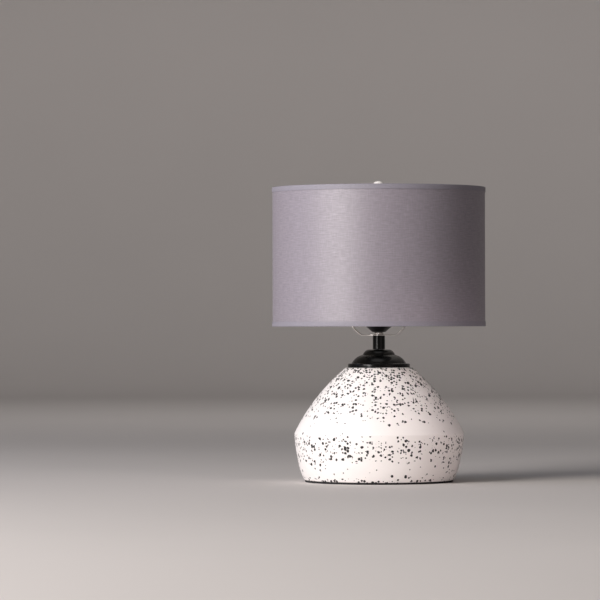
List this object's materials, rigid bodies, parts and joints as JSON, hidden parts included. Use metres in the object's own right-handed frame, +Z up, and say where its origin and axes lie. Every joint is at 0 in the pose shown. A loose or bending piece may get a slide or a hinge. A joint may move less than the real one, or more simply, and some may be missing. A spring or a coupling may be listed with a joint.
{
  "type": "table lamp",
  "caption": "Table lamp with a speckled ridged ceramic body, stepped black cap and neck, harp and a grey fabric drum shade.",
  "frame": {"origin": "middle of the foot pad's underside, on the lamp's axis", "axes": "+Z up along the lamp's axis, +Y to the back where the cord outlet is, +X to the right seen from the front"},
  "size_m": [0.3, 0.3, 0.4223],
  "materials": {
    "speckled_ceramic": "satin white glaze with dark speckles",
    "black_foam": "matte closed-cell foam",
    "fibreboard": "pressed fibreboard",
    "black_rubber": "moulded, matte",
    "black_painted_steel": "gloss black enamel on spun steel",
    "chrome": "bright nickel-chrome plating",
    "zinc_steel": "zinc plated",
    "black_thermoset": "moulded black thermoset",
    "porcelain": "glazed porcelain",
    "brass": "pressed brass",
    "grey_fabric": "grey-mauve slub weave",
    "grey_trim": "folded fabric tape",
    "white_liner": "white laminate sheet",
    "white_finial": "gloss white glaze",
    "opal_diffuser": "frosted opal plastic",
    "white_plastic": "moulded white plastic"
  },
  "bodies": {
    "base": {"ceramic_body": "speckled_ceramic", "foot_pad": "black_foam", "base_board": "fibreboard", "cord_grommet": "black_rubber", "clamp_washer": "zinc_steel", "lock_washer": "zinc_steel", "pipe_nut": "zinc_steel", "lamp_pipe": "zinc_steel", "vase_cap": "black_painted_steel", "neck_tube": "black_painted_steel", "harp_saddle": "chrome", "harp_nut": "chrome", "holder_cap": "black_thermoset", "holder_set_screw": "zinc_steel", "holder_body": "black_thermoset", "holder_insert": "porcelain", "terminal_screw_left": "brass", "terminal_screw_right": "brass", "thread_shell": "brass", "centre_contact": "brass"},
    "harp": {"harp_loop": "chrome", "harp_seat": "chrome"},
    "left_sleeve": {"harp_sleeve_left": "chrome"},
    "right_sleeve": {"harp_sleeve_right": "chrome"},
    "shade": {"shade_fabric": "grey_fabric", "shade_liner": "white_liner", "shade_trim_bottom": "grey_trim", "shade_trim_top": "grey_trim", "shade_ring_bottom": "zinc_steel", "shade_ring_top": "zinc_steel", "spider_hub": "chrome", "spider_arm_1": "chrome", "spider_arm_2": "chrome", "spider_arm_3": "chrome"},
    "finial": {"finial_insert": "chrome", "finial_ball": "white_finial"},
    "bulb": {"bulb_tip": "zinc_steel", "bulb_insulator": "black_thermoset", "bulb_screw_cap": "zinc_steel", "bulb_collar": "white_plastic", "bulb_globe": "opal_diffuser"}
  },
  "joints": [
    {"name": "harp_lift", "type": "slide", "parent": "base", "child": "harp", "axis": [0, 0, 1], "range_m": [0, 0.02]},
    {"name": "left_sleeve_slide", "type": "slide", "parent": "harp", "child": "left_sleeve", "axis": [0, 0, 1], "range_m": [0, 0.0125]},
    {"name": "right_sleeve_slide", "type": "slide", "parent": "harp", "child": "right_sleeve", "axis": [0, 0, 1], "range_m": [0, 0.0125]},
    {"name": "shade_turn", "type": "hinge", "parent": "harp", "child": "shade", "pos_m": [0, 0, 0.3981], "axis": [0, 0, 1], "continuous": true},
    {"name": "finial_turn", "type": "hinge", "parent": "harp", "child": "finial", "pos_m": [0, 0, 0.3981], "axis": [0, 0, 1], "continuous": true},
    {"name": "bulb_turn", "type": "hinge", "parent": "base", "child": "bulb", "pos_m": [0, 0, 0.26], "axis": [0, 0, 1], "continuous": true}
  ]
}
